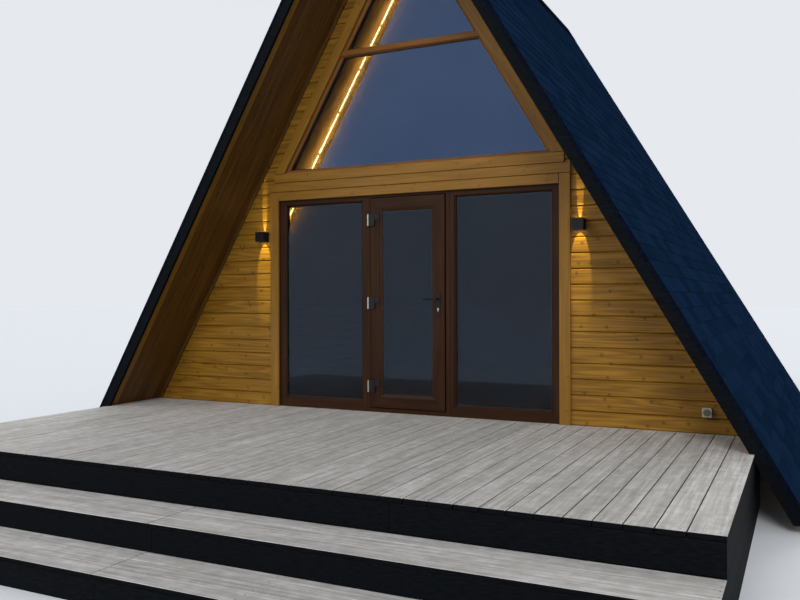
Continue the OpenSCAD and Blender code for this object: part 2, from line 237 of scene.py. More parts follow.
def raised(outline, y, s, steps, mats=0):
    """Closed body on an outline in X and Z. Each of its steps (height, inset) puts the outline at the depth
    y + s * height, and moves its edges inwards by inset."""
    points = np.array([[np.insert(shrunk(outline, inset), 1, y + s * height, 1) for height, inset in steps]])
    return prisms(points, points, 1, mats, mats)


def turned(profile, centre, mats=0, count=28):
    """Body turned about an upright axis: a profile point (r, z) goes round centre as (r cos, r sin, z)."""
    angle = np.linspace(0, 2 * math.pi, count, endpoint=False)
    circle = np.stack([np.cos(angle), np.sin(angle), 0 * angle], 1)
    radius, height = np.asarray(profile).T[..., None, None]
    points = (radius * circle + height * Z + centre)[None]
    return prisms(points, points, 1, mats, mats)


def mirrored(part):
    """The same part on the other side of the centre plane, with its faces turned to point outwards."""
    return part._replace(points=part.points * (-1, 1, 1), faces=[face[::-1] for face in part.faces])


SIDES = (("right", lambda part: part), ("left", mirrored))


def plank(width, thick, edge, steps=2):
    """Cross-section of a board from 0 to width, its face at 0 and its back at -thick. Both front corners are
    arcs of radius edge, or bevels where steps is 1."""
    turn = np.linspace(0, math.pi / 2, steps + 1)
    right = np.stack([width - edge + edge * np.cos(turn), edge * np.sin(turn) - edge], 1)
    left = np.stack([edge - edge * np.sin(turn), edge * np.cos(turn) - edge], 1)
    return np.concatenate([[(0, -thick), (width, -thick)], right, left])


def rect(a0, a1, b0, b1):
    return np.array([(a0, b0), (a1, b0), (a1, b1), (a0, b1)])


def arc(x, z, radius, start, end, count):
    """Points on a circle about (x, z), between two angles in degrees."""
    angle = np.radians(np.linspace(start, end, count))
    return np.stack([x + radius * np.cos(angle), z + radius * np.sin(angle)], 1)


def rounded_rect(lo, hi, radius):
    """Rectangle in X and Z from the corner lo to hi, with a quarter circle at each corner."""
    x0, x1, z0, z1 = lo.x + radius, hi.x - radius, lo.z + radius, hi.z - radius
    corners = ((x1, z1, 0), (x0, z1, 90), (x0, z0, 180), (x1, z0, 270))
    return np.concatenate([arc(x, z, radius, turn, turn + 90, 6) for x, z, turn in corners])


def slab(outline, y0, y1, seed=1):
    """Outline in X and Z carried from y0 to y1."""
    return bars(outline, [0], y0, y1, Y, X, Z, seed=seed)


def piece(name, parts, materials, slot, *instead, body="cabin"):
    """Joins parts into one mesh with its materials. It rides on a body, in place of the nodes in instead."""
    points, faces, grain, tone, mats = zip(*parts)
    firsts = np.cumsum([0] + [len(p) for p in points])
    moved = [[v + first for v in face] for first, group in zip(firsts, faces) for face in group]
    mesh = bpy.data.meshes.new(name)
    mesh.from_pydata(np.concatenate(points).tolist(), [], moved)
    for key, kind, field, values in (("grain", "FLOAT_VECTOR", "vector", grain),
                                     ("tone", "FLOAT", "value", tone)):
        data = mesh.attributes.new(key, kind, "POINT").data
        data.foreach_set(field, np.concatenate(values).ravel().astype(np.float32))
    for finish in materials:
        mesh.materials.append(finish)
    mesh.polygons.foreach_set("material_index", np.concatenate(mats).astype(np.int32))
    mesh.update()
    made = linked(name, mesh)
    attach(made, body)
    if instead:
        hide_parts(*instead)


def linear(colour):
    """sRGB hex to linear: c / 12.92 up to 0.04045, and ((c + 0.055) / 1.055) to the power 2.4 above it."""
    c = np.array([int(colour[i:i + 2], 16) for i in (1, 3, 5)]) / 255
    return (*np.where(c <= 0.04045, c / 12.92, ((c + 0.055) / 1.055) ** 2.4), 1.0)


def add(tree, kind, inputs=(), out=0, stops=(), **settings):
    """Adds a shader node with its settings and its ramp's (place, sRGB hex) stops. Its inputs, by name or in
    order, are set or linked. Gives the output of that name or number."""
    new = tree.nodes.new("ShaderNode" + kind)
    for key, value in settings.items():
        setattr(new, key, value)
    for i, (place, colour) in enumerate(stops):
        element = new.color_ramp.elements[i] if i < 2 else new.color_ramp.elements.new(place)
        element.position = place
        element.color = linear(colour)
    for socket, value in inputs.items() if isinstance(inputs, dict) else enumerate(inputs):
        if isinstance(value, bpy.types.NodeSocket):
            tree.links.new(value, new.inputs[socket])
        else:
            new.inputs[socket].default_value = value
    return new.outputs[out]


def material(name, **values):
    """New material, its node tree and its shader, with the shader's own values set by name."""
    made = bpy.data.materials.new(name)
    made.use_nodes = True
    shader = made.node_tree.nodes["Principled BSDF"]
    for socket, value in values.items():
        shader.inputs[socket.replace("_", " ")].default_value = value
    return made, made.node_tree, shader


def surface(tree, shader, colour, height, strength, distance, rough=()):
    """Links a colour, a relief, its distance in metres, and a roughness given as (socket, least, most)."""
    bump = add(tree, "Bump", {"Height": height, "Strength": strength, "Distance": distance})
    tree.links.new(colour, shader.inputs["Base Color"])
    tree.links.new(bump, shader.inputs["Normal"])
    if rough:
        drawn = add(tree, "MapRange", (rough[0], 0.0, 1.0, *rough[1:]))
        tree.links.new(drawn, shader.inputs["Roughness"])


def noise(tree, place=None, stretch=(1, 1, 1), detail=3, scale=1):
    """Noise on a vector, or else on the object's own, first scaled by stretch, in cycles a metre."""
    vector = place or add(tree, "TexCoord", out="Object")
    drawn = add(tree, "Mapping", {"Vector": vector, "Scale": stretch})
    return add(tree, "TexNoise", {"Vector": drawn, "Scale": scale, "Detail": detail})


def sum_of(tree, *terms):
    """Sum of (socket, weight) terms."""
    total = 0.0
    for socket, weight in terms:
        total = add(tree, "Math", (socket, weight, total), operation="MULTIPLY_ADD")
    return total


def toned(tree, colour, tone, by):
    """Colour made up to that share darker or lighter by a tone from 0 to 1."""
    value = add(tree, "MapRange", (tone, 0.0, 1.0, 1 - by, 1 + by))
    return add(tree, "HueSaturation", {"Value": value, "Color": colour})


def wooden(name, dark, mid, light, rough, figure=0.2, by=0.06, knots=0.55, specular=0.25):
    """Planed softwood under a stain, along the piece's own grain. Growth rings are contour lines of noise
    drawn out along the board, fibres are much finer noise, slow noise is cloudy stain, and knots are the
    middles of cells."""
    made, tree, shader = material(name, Specular_IOR_Level=specular)
    grain = add(tree, "Attribute", out="Vector", attribute_name="grain")
    tone = add(tree, "Attribute", out="Fac", attribute_name="tone")
    # Rings about 12 mm apart across the board, drawn out 20 times along it
    waves = noise(tree, grain, (0.45, 9, 9), 2)
    lines = add(tree, "Math", (sum_of(tree, (waves, 9.0)), 0.5), operation="PINGPONG")
    # Fibres about 4 mm wide, drawn coarser than the real ones so that they show
    fibre = noise(tree, grain, (5, 250, 250))
    clouds = noise(tree, grain, (1.1, 12, 12), 4)
    both = sum_of(tree, (lines, 2 * figure), (fibre, 0.4), (clouds, 0.6 - figure))
    colour = add(tree, "ValToRGB", (both,), stops=((0.3, dark), (0.5, mid), (0.7, light)))
    # Knots 16 mm across with a darker surround, in cells of 200 mm
    cells = add(tree, "TexVoronoi", {"Vector": grain, "Scale": 5.0}, voronoi_dimensions="2D")
    edge = sum_of(tree, (noise(tree, grain, (30, 60, 60)), 0.03), (cells, 1.0))
    spot = add(tree, "MapRange", (edge, 0.04, 0.12, knots, 0.0))
    knotted = add(tree, "MixRGB", (spot, colour, linear(dark)), blend_type="MULTIPLY")
    colour = toned(tree, knotted, tone, by)
    surface(tree, shader, colour, both, 0.15, 0.001, (fibre, rough - 0.08, rough + 0.08))
    return made


# Pine cladding boards under a walnut stain: golden brown, satin, with faint rings and small knots
cladding_stain = wooden("stained_pine", "#66460F", "#7F5914", "#966D22", 0.5, 0.25)
# Planed pine casing boards under a golden oak stain: clearer and more even than the cladding
casing_stain = wooden("golden_pine", "#6C4B14", "#7B561A", "#8B6323", 0.45, 0.16, 0.04, 0.3)
# Sashes of the gable window: the same boards under a redder stain
sash_stain = wooden("red_stained_pine", "#5C3811", "#6E4517", "#7F5220", 0.42, 0.12, 0.04, 0.2)
# Soffit boards in the walnut stain, darkened with painted shade for the shadow under the overhangs
shaded_soffit_stain = wooden("stained_pine_painted_shade", "#412A0D", "#543712", "#674619", 0.45, by=0.1)
# Clear varnished pine inside the room
lining_varnish = wooden("varnished_pine", "#8A6225", "#A2742F", "#B4873E", 0.4)
# Oak floor planks, oiled
floor_oak = wooden("oiled_oak", "#6E4F2E", "#8A6742", "#A07E56", 0.5, knots=0.2)
# Wood-print foil over window profiles: even deep red brown, satin, with fine streaks along each profile
foil = wooden("mahogany_foil", "#221006", "#2D190A", "#38210F", 0.42, 0.1, 0.04, 0.0, 0.12)


def coated(name, dark, light, rough, scale, specular=0.5, relief=0.1, depth=0.0005, stretch=(1, 1, 1),
           **values):
    """An even coat: two close colours mixed by noise, which also drives a little roughness and relief."""
    made, tree, shader = material(name, Specular_IOR_Level=specular, **values)
    grit = noise(tree, stretch=stretch, scale=scale)
    colour = add(tree, "ValToRGB", (grit,), stops=((0.35, dark), (0.65, light)))
    surface(tree, shader, colour, grit, relief, depth, (grit, rough - 0.06, rough + 0.06))
    return made


# Black deck paint on planed boards: nearly black, dull, with the fibres just showing
black_timber = coated("black_painted_timber", "#07090C", "#0F1216", 0.7, 6, 0.03, 0.2, 0.001, (3, 3, 30))
# Matt polyester coat on folded sheet steel: very dark blue grey, without shine
flashing_coat = coated("coated_steel_flashing", "#080C14", "#0E141F", 0.75, 30, 0.0, 0.02)
# Powder coat on hinge covers, plates, lever and lamp bodies: black satin, fine orange peel
powder_coat = coated("black_powder_coat", "#0C0C0E", "#131316", 0.4, 900, 0.25, 0.15, 0.0002)
# EPDM seals round the panes: black, matt
gasket_rubber = coated("epdm_gasket", "#080808", "#111111", 0.7, 200, 0.2)
# Sawn spruce that is never painted
sawn_spruce = coated("sawn_spruce", "#8F7450", "#B3966B", 0.75, 12, 0.3, 0.3, 0.001, (1, 0.1, 1))
# Cast concrete piers: pale grey with darker clouds
concrete = coated("cast_concrete", "#77756F", "#9A988F", 0.85, 14, 0.3, 0.4, 0.002)
# Moulded polycarbonate of the socket's box: warm light grey
socket_plastic = coated("moulded_polycarbonate", "#A8A391", "#B4AF9C", 0.42, 300)
# The same plastic in the lid's darker olive grey
lid_plastic = coated("dark_polycarbonate", "#57543F", "#63604A", 0.4, 300)
# Turned steel knuckles and lock cylinders, nickel plated: bright, fine turning marks
nickel_steel = coated("nickel_plated_steel", "#B4B0A6", "#CBC7BC", 0.28, 700, 0.5, 0.1, 0.0001, Metallic=1.0)
# Rolled aluminium spacer bars between the sheets of glass: dull silver, warmed by the bronze anodising
spacer_metal = coated("anodised_spacer", "#A08F78", "#B7A68E", 0.4, 400, Metallic=1.0)
# Stainless screw heads, dulled by weather
screw_steel = coated("stainless_screws", "#5E5C58", "#7C7A75", 0.45, 500, Metallic=1.0)


def make_shingle():
    """Slate granules in bitumen. They are drawn 4 mm wide, coarser than the real 1 mm, so that they show."""
    made, tree, shader = material("slate_granule_shingle", Roughness=0.9, Specular_IOR_Level=0.0)
    granules = noise(tree, detail=2, scale=240)
    clouds = noise(tree, scale=1.3)
    tone = add(tree, "Attribute", out="Fac", attribute_name="tone")
    stops = ((0.3, "#0A1828"), (0.55, "#11233A"), (0.8, "#1C334E"))
    colour = add(tree, "ValToRGB", (granules,), stops=stops)
    both = sum_of(tree, (tone, 0.7), (clouds, 0.3))
    surface(tree, shader, toned(tree, colour, both, 0.3), granules, 0.4, 0.001)
    return made


shingle_granules = make_shingle()


def make_decking():
    """Larch decking, weathered to silver grey: pale raised fibres over darker wood, with worn patches."""
    made, tree, shader = material("weathered_larch", Specular_IOR_Level=0.25)
    grain = add(tree, "Attribute", out="Vector", attribute_name="grain")
    tone = add(tree, "Attribute", out="Fac", attribute_name="tone")
    streaks = noise(tree, grain, (1.6, 45, 45), 4)
    fibre = noise(tree, grain, (6, 220, 220))
    # Rime and wear in spots of 30 mm and less, which run over all boards
    worn = noise(tree, detail=5, scale=14)
    both = sum_of(tree, (streaks, 0.45), (fibre, 0.3), (worn, 0.25))
    stops = ((0.34, "#8B8883"), (0.5, "#A9A6A1"), (0.64, "#C6C4C1"))
    colour = toned(tree, add(tree, "ValToRGB", (both,), stops=stops), tone, 0.07)
    surface(tree, shader, colour, both, 0.35, 0.002, (both, 0.6, 0.85))
    return made


weathered_larch = make_decking()


def make_pane(name, index, mirror, dark, light):
    """Float glass under a thin metal coat, which tints what is seen through it and what it mirrors. The coat
    is a little uneven, in clouds about a metre wide."""
    made, tree, shader = material(name, Transmission_Weight=1.0, IOR=index, Roughness=0.0,
                                  Specular_IOR_Level=1.0, Specular_Tint=linear(mirror))
    coat = noise(tree, detail=2, scale=0.9)
    colour = add(tree, "ValToRGB", (coat,), stops=((0.35, dark), (0.65, light)))
    tree.links.new(colour, shader.inputs["Base Color"])
    return made


# Solar-control glass of the gable, whose coat raises the index to 1.95: a clear blue mirror
gable_glass = make_pane("solar_control_glass", 1.95, "#A4C6FF", "#8E99A8", "#9CA6B4")
# Low-emissivity glass of the entrance: greyer, and mirrors half as much
entrance_glass = make_pane("low_emissivity_glass", 1.52, "#B4C4DC", "#8C9296", "#999FA3")


def glowing(name, colour, strength, uneven):
    """Opal cover over warm diodes. Noise along it makes the light a little stronger where a diode is."""
    made, tree, shader = material(name, Base_Color=linear(colour), Emission_Color=linear(colour))
    spots = noise(tree, detail=1, scale=40)
    glow = add(tree, "MapRange", (spots, 0.3, 0.7, strength * (1 - uneven), strength * (1 + uneven)))
    tree.links.new(glow, shader.inputs["Emission Strength"])
    return made


strip_glow = glowing("warm_diode_strip", "#FFE3A4", 26.0, 0.3)
lens_glow = glowing("opal_lamp_lens", "#FFE4A4", 4.0, 0.1)

FINISHES = (
    (concrete, "piers"), (flashing_coat, "ridge_cap"), (powder_coat, "door_lever wall_lights"),
    (sawn_spruce, "floor_bearers cabin_floor left_roof_panel right_roof_panel front_wall_beam"),
    (black_timber, "left_front_bargeboard right_front_bargeboard rear_bargeboards deck_joists step_bearers"))
for finish, names in FINISHES:
    for name in names.split():
        nodes[name].data.materials.clear()
        nodes[name].data.materials.append(finish)


def cladding(inner, face, out, seed):
    """Cladding from the deck up, between the line inner(z) and the roof. The first and last are ripped."""
    gap, bevel, clear = 0.003, 0.008, 0.003
    limits = [lambda a, b: inner(a), lambda a, b: roof_half(PANEL_D, a)]
    # The top board ends a little below the apex
    top = apex(PANEL_D) - clear
    rows = np.arange(DECK + FIRST_COURSE, top, COURSE)
    courses = ((FIRST_COURSE, [DECK]), (COURSE, rows[:-1]), (top - rows[-1], rows[-1:]))
    return [bars(plank(width - gap, CLADDING_T, bevel, 1), place, *limits, X, Z, out, (0, face, 0), seed + i)
            for i, (width, place) in enumerate(courses)]


# Half width of the end walls at deck level, the room between them, and how far cladding and core overlap
WALL_HALF = roof_half(PANEL_D, DECK)
ROOM_Y = (FACADE + WALL_T, REAR - WALL_T)
LAP = 0.002


def make_front_walls():
    """Front walls and gable bands: cladding over a core, lined inside."""
    hide = GABLE_W + FRAME_HIDE
    inner = lambda z: np.where(z < SILL, FRAME_X, np.maximum(gable_half(hide, z), 0))
    outline = [(FRAME_X, DECK), (WALL_HALF, DECK), (0, apex(PANEL_D)), (0, DECK + hide * SLOPE),
               (gable_half(hide, SILL), SILL), (FRAME_X, SILL)]
    for (side, turn), seed in zip(SIDES, (10, 20)):
        parts = cladding(inner, FACADE, -Y, seed)
        parts.append(slab(outline, FACADE + CLADDING_T - LAP, FACADE + WALL_T, seed))
        piece(f"{side}_front_cladding", [turn(p) for p in parts], [cladding_stain], "stained_cladding",
              f"front_wall_{side}", f"gable_band_{side}")


def make_rear_wall():
    """Rear wall: cladding in whole lengths over a core, whose inner face is stained too."""
    boards = cladding(lambda z: -roof_half(PANEL_D, z), REAR, Y, 30)
    outline = [(-WALL_HALF, DECK), (WALL_HALF, DECK), (0, apex(PANEL_D))]
    core = slab(outline, REAR - WALL_T, REAR - CLADDING_T + LAP)
    piece("rear_cladding", boards + [core], [cladding_stain], "stained_cladding", "rear_wall")


def make_linings():
    """Varnished boards on the room's slopes: boards along the room, stacked up the slope, over a core."""
    nominal, gap, bevel = 0.136, 0.001, 0.004
    start = level_cut(LINING_D, DECK)
    end = ridge_cut(LINING_D)
    count = round((end - start) / nominal)
    width = (end - start) / count
    profile = plank(width - gap, LINING_T, bevel, 1)
    back = LINING_D - LINING_T
    core = [(roof_half(back, DECK), DECK), (WALL_HALF, DECK), (0, apex(PANEL_D)), (0, apex(back))]
    places = start + width * np.arange(count)
    for (side, turn), seed in zip(SIDES, (50, 60)):
        parts = [bars(profile, places, *ROOM_Y, Y, UP, -OUT, FOOT - OUT * LINING_D, seed),
                 slab(core, *ROOM_Y)]
        piece(f"{side}_lining_boards", [turn(p) for p in parts], [lining_varnish], "golden_pine",
              f"{side}_lining")


def make_floor():
    """Oak planks on the floor, 190 mm wide, along the room."""
    width, thick, gap, bevel, clear = 0.19, 0.008, 0.001, 0.001, 0.02
    half = roof_half(LINING_D, DECK) - clear
    rows = np.arange(-half, half - width, width)
    boards = bars(plank(width - gap, thick, bevel, 1), rows, *ROOM_Y, Y, X, Z, (0, 0, DECK + thick), 70)
    piece("floor_planks", [boards], [floor_oak], "golden_pine")


def make_soffits():
    """Boards under the overhangs, laid up the slope: a trim board along the verge, then equal boards, then a
    batten where they meet the wall. Their feet are cut level and their tops plumb."""
    trim, nominal, gap, bevel, arris = 0.105, 0.13, 0.0015, 0.0015, 0.003
    batten_w, batten_t = 0.022, 0.030
    thick = SOFFIT_D - PANEL_D
    start = lambda a, b: level_cut(SOFFIT_D + b, DECK)
    end = lambda a, b: ridge_cut(SOFFIT_D + b)
    for (side, turn), seed in zip(SIDES, (80, 90)):
        parts = []
        # Verge, wall and the direction from the first to the second
        for verge, wall, s in ((VERGE0 + BARGE_T, FACADE, 1), (VERGE1 - BARGE_T, REAR, -1)):
            count = round((abs(wall - verge) - trim) / nominal)
            width = (abs(wall - verge) - trim) / count
            # Boards and batten in the walnut stain with painted shade, trim in the casings' stain; the
            # batten stands further out than the boards
            kinds = ((plank(width - gap, thick, bevel, 1), trim + width * np.arange(count), verge, 0),
                     (plank(trim - gap, thick, arris), [0], verge, 1),
                     (plank(batten_w, batten_t, arris) + (0, batten_t), [0], wall - s * batten_w, 0))
            for i, (profile, place, y, mats) in enumerate(kinds):
                at = FOOT - OUT * SOFFIT_D + y * Y
                parts.append(bars(profile, place, start, end, UP, s * Y, -OUT, at, seed + i, mats))
        piece(f"{side}_soffit_boards", [turn(p) for p in parts], [shaded_soffit_stain, casing_stain], "golden_pine",
              f"{side}_soffit")


def make_shingles():
    """Rows of shingles up each slope. A row's tabs are wedges, thick at the butt and thin where the next row
    covers them, and each row is shifted by half a tab."""
    exposure, tab, slot, least, clear = 0.145, 0.333, 0.006, 0.01, 0.001
    # How far below the ridge tabs and underlay end, and depths of the tabs' back, upper edge and butt
    no_tabs, no_underlay, back, thin, butt = 0.12, 0.01, -0.0058, -0.0046, -0.0008
    wedge = [(0, back), (exposure, back), (exposure, thin), (0, butt)]
    under = rect(0, SLOPE_LENGTH - no_underlay, -0.0060, -0.0052)
    y0, y1 = VERGE0 + clear, VERGE1 - clear
    shape = int((SLOPE_LENGTH - no_tabs) / exposure), int((y1 - y0) / tab) + 3
    row, column = np.indices(shape).reshape(2, -1)
    first = y0 + (column - 1 + 0.5 * (row % 2)) * tab
    first, last = np.clip([first, first + tab - slot], y0, y1)[..., None]
    kept = last[:, 0] - first[:, 0] > least
    for (side, turn), seed in zip(SIDES, (100, 110)):
        parts = [bars(wedge, row[kept] * exposure, first[kept], last[kept], Y, UP, OUT, FOOT, seed),
                 bars(under, [0], y0, y1, Y, UP, OUT, FOOT, seed + 1)]
        piece(f"{side}_shingle_rows", [turn(p) for p in parts], [shingle_granules], "roof_shingle",
              f"{side}_roof_shingles")


def make_flashings():
    """Steel along both verges, on the shingles: folded down over the bargeboards in front, flat behind."""
    flange, drop, leg_t, flange_t, clear = 0.045, 0.030, 0.0012, 0.0008, 0.0003
    front = -leg_t - clear
    folded = [(front, -drop), (-clear, -drop), (-clear, -flange_t), (flange, -flange_t), (flange, 0),
              (front, 0)]
    flat = rect(0, flange, -flange_t, 0)
    parts = [turn(bars(profile, [0], 0, lambda a, b: ridge_cut(-b), UP, s * Y, OUT, FOOT + y * Y))
             for y, s, profile in ((VERGE0, 1, folded), (VERGE1, -1, flat)) for _, turn in SIDES]
    piece("verge_flashings", parts, [flashing_coat], "flashing_metal")


def make_casings():
    """Casing boards round the entrance, the two boards over its head, and the casings up the gable."""
    top = low("beam_boards").z
    middle = (top + SILL) / 2
    arris, gap = 0.005, 0.004
    at = np.array((0, FACADE - CASING_T, 0))
    upright = plank(CASING_W, CASING_T, arris)
    posts = [turn(bars(upright, [CASING_IN_X], DECK, top - gap, Z, X, -Y, at, seed))
             for (_, turn), seed in zip(SIDES, (120, 121))]
    # Level boards: from and to, half length
    head, lower, upper = [
        bars(plank(z1 - z0 - gap, CASING_T, arris), [z0], -half, half, X, Z, -Y, at, seed)
        for z0, z1, half, seed in ((HEAD - FRAME_HIDE, top, CASING_IN_X - gap, 122),
                                   (top, middle, high("beam_boards").x, 123),
                                   (middle, SILL, high("gable_casing_right").x, 124))]
    piece("entrance_casing_boards", posts + [head], [casing_stain], "golden_pine", "entrance_casing")
    piece("head_boards", [lower, upper], [casing_stain], "golden_pine", "beam_boards")
    # Boards up the gable: across is square to the slope, and the ends are cut level below and plumb above
    level = lambda a, b: (SILL - DECK - a * COS) / SIN
    plumb = lambda a, b: (GABLE_W + a * SIN) / COS
    for (side, turn), seed in zip(SIDES, (125, 126)):
        board = bars(upright, [0], level, plumb, UP, OUT, -Y, at + (GABLE_W, 0, DECK), seed)
        piece(f"{side}_gable_casing_board", [turn(board)], [casing_stain], "golden_pine",
              f"gable_casing_{side}")


def member(outer, bead, front, glass, back):
    """Frame member from the outer side's points and the bead's, both (across, behind the front) from their
    edge, to the pane's rebate, round it, and to the back, which has a bevel of 12 by 10 mm."""
    g0, g1 = glass
    inner = [(a, front + b) for a, b in bead] + [(0, g0), (-REBATE, g0), (-REBATE, g1), (0, g1),
                                                 (0, back - 0.010), (-0.012, back)]
    return [(0, 0, back)] + [(0, a, front + b) for a, b in outer] + [(1, a, b) for a, b in inner]


# Fixed window, door leaf and sash: a flat face, eased outside, and a bevelled bead down to the glass
LEAF_T = 0.055
FIXED_MEMBER = member([(0, 0.002), (0.002, 0)], [(-0.016, 0), (-0.014, 0.003), (-0.012, 0.003), (0, 0.014)],
                      FRAME_FRONT, FIXED_GLASS, FRAME_BACK)
LEAF_MEMBER = member([(0, 0.004), (0.0012, 0.0012), (0.004, 0)],
                     [(-0.030, 0), (-0.028, 0.003), (-0.024, 0.003), (0, 0.011)], 0, DOOR_GLASS, LEAF_T)
SASH_MEMBER = member([(0, 0)], [(-0.012, 0), (0, 0.012)], FRAME_FRONT, FIXED_GLASS, FRAME_BACK)


def strip(opening, p0, p1, q0, q1, mats, rise=0):
    """Strip round an opening, from p0 to p1 across its edge, and in depth from q0, with a rise, to q1."""
    profile = [(1, p0, q0), (1, p1, q0 + rise), (1, p1, q1), (1, p0, q1)]
    return ring(opening, opening, profile, FACADE, mats=mats)


def glazed(outer, opening, profile, glass, seed):
    """Frame round one opening, and rubber lips on both sides of its glass, 5 mm high and 3 at the tip."""
    return [ring(outer, opening, profile, FACADE, seed)] + [
        strip(opening, -0.001, 0.003, face + 0.005 * away, face, 1, -0.002 * away)
        for face, away in zip(glass, (-1, 1))]


def glaze(name, openings, glass, coat, node, body="cabin"):
    """Insulating units: two sheets of glass that reach into the rebate, with a metal spacer bar and black
    sealant between."""
    g0, g1 = glass
    clear = 0.0002
    between = (g0 + SHEET_T + clear, g1 - SHEET_T - clear)
    parts = []
    for opening in openings:
        pane = shrunk(opening, -PANE_GRIP)
        parts += [slab(pane, FACADE + g, FACADE + g + SHEET_T) for g in (g0, g1 - SHEET_T)]
        parts += [strip(opening, 0.001, 0.009, *between, 1), strip(opening, -0.009, 0.001, *between, 2)]
    piece(name, parts, [coat, spacer_metal, gasket_rubber], "pane", node, body=body)


def opening_of(name):
    """Visible opening round a rectangular pane: its box less what the rebates hold."""
    lo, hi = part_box(name)
    return shrunk(rect(lo.x, hi.x, lo.z, hi.z), PANE_GRIP)


def make_entrance():
    """Three joined frames: a window on each side and the door's frame between them, with a low threshold."""
    lo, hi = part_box("door_leaf")
    joint, side_gap, latch_gap, jamb_w = 0.0015, 0.005, 0.008, 0.040
    door_x0, door_x1 = lo.x - side_gap - jamb_w, hi.x + latch_gap + jamb_w
    parts = []
    for side, x0, x1, seed in (("left", -FRAME_X, door_x0 - joint, 130),
                               ("right", door_x1 + joint, FRAME_X, 131)):
        node = f"{side}_window_glass"
        parts += glazed(rect(x0, x1, DECK, HEAD), opening_of(node), FIXED_MEMBER, FIXED_GLASS, seed)
        glaze(f"{side}_window_unit", [opening_of(node)], FIXED_GLASS, entrance_glass, node)
    doorway = rect(lo.x - side_gap, hi.x + latch_gap, lo.z - side_gap, hi.z + side_gap)
    stop, stop_y, ease = 0.015, 0.060, 0.004
    jamb = [(0, 0, FRAME_BACK), (0, 0, FRAME_FRONT), (1, -ease, FRAME_FRONT), (1, 0, FRAME_FRONT + ease),
            (1, 0, stop_y), (1, stop, stop_y), (1, stop, FRAME_BACK)]
    parts.append(ring(rect(door_x0, door_x1, DECK, HEAD), doorway, jamb, FACADE, 132))
    piece("entrance_profiles", parts, [foil, gasket_rubber], "mahogany_frame", "entrance_frame")


def make_door():
    """Door leaf of four mitred profiles with a bead and rubber lips round its insulating glass."""
    lo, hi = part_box("door_leaf")
    opening = opening_of("door_glass")
    parts = glazed(rect(lo.x, hi.x, lo.z, hi.z), opening, LEAF_MEMBER, DOOR_GLASS, 140)
    piece("door_profiles", parts, [foil, gasket_rubber], "mahogany_frame", "door_leaf", body="door")
    glaze("door_unit", [opening], DOOR_GLASS, entrance_glass, "door_glass", "door")


HINGE_R = 0.010
HINGE_HALF = 0.0575


def make_hinges():
    """Three flag hinges: steel knuckles turned on the pin's axis, a black strap on the frame, and a black
    cover and flag on the leaf."""
    x, y = np.array(low("frame_hinges"))[:2] + HINGE_R
    joint, ease, cap = 0.0005, 0.0015, 0.004
    # Radius less the knuckle's, and height: eased at the joint, a groove, and a bevelled end
    half = np.array([(-ease, joint), (0, joint + ease), (0, HINGE_HALF - 0.005), (-0.001, HINGE_HALF - cap),
                     (-0.001, HINGE_HALF - 0.001), (-0.003, HINGE_HALF)]) + (HINGE_R, 0)
    # Arm, cover and flag: width, arris and its steps, first edge, face and back before the axis, both ends
    leaf_side = ((0.016, 0.002, 2, 0, 0.005, -0.005, joint, HINGE_HALF - cap),
                 (0.058, 0.005, 4, 0.013, 0.005, y - FACADE, -HINGE_HALF, HINGE_HALF),
                 (0.112, 0.004, 3, 0.013, 0.001, y - FACADE, joint, HINGE_HALF))
    strap = plank(0.018, FACADE + FRAME_FRONT - y, 0.002)
    fixed, hung = [], []
    for height in (0.250, 1.056, 1.860):
        at = np.array((x, y, DECK + height))
        fixed += [turned(half * (1, -1), at, 1),
                  bars(strap, [-HINGE_R], -HINGE_HALF, -joint, Z, X, -Y, at, 145)]
        hung.append(turned(half, at, 1))
        for width, arris, steps, place, face, back, start, end in leaf_side:
            profile = plank(width, face - back, arris, steps)
            hung.append(bars(profile, [place], start, end, Z, X, -Y, at - face * Y))
    piece("frame_hinge_knuckles", fixed, [powder_coat, nickel_steel], "black_paint", "frame_hinges")
    piece("leaf_hinge_flags", hung, [powder_coat, nickel_steel], "black_paint", "door_hinges", body="door")


def make_handle_plates():
    """Long plates on both faces of the leaf, and a profile cylinder: a round plug over a narrow leg."""
    lo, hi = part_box("door_handle_plate")
    x = (lo.x + hi.x) / 2
    plate_t, corner_r, proud, ease = 0.008, 0.006, 0.003, 0.0015
    plate = rounded_rect(lo, hi, corner_r)
    plug_r, leg_r, leg_drop, key_drop = 0.0085, 0.005, 0.0195, 0.092
    key_z = (low("door_lever").z + high("door_lever").z) / 2 - key_drop
    meet = math.degrees(math.asin(leg_r / plug_r))
    plug = np.concatenate([arc(x, key_z, plug_r, meet - 90, 270 - meet, 19),
                           arc(x, key_z - leg_drop, leg_r, 180, 360, 9)])
    plate_steps = [(0, 0), (plate_t - ease, 0), (plate_t, ease)]
    plug_steps = [(-0.001, 0), (proud - 0.0005, 0), (proud, 0.0005)]
    parts = []
    for y, s in ((FACADE, -1), (FACADE + LEAF_T, 1)):
        parts += [raised(plate, y, s, plate_steps), raised(plug, y + s * plate_t, s, plug_steps, 1)]
    piece("handle_plates", parts, [powder_coat, nickel_steel], "black_paint", "door_handle_plate",
          body="door")


def gable_outline(width, z0, z1=None):
    """Trapezium between two heights of a gable line and its mirror image, or the triangle above one."""
    half = gable_half(width, z0)
    top = [(gable_half(width, z1), z1), (-gable_half(width, z1), z1)] if z1 else [(0, DECK + width * SLOPE)]
    return np.array([(-half, z0), (half, z0)] + top)


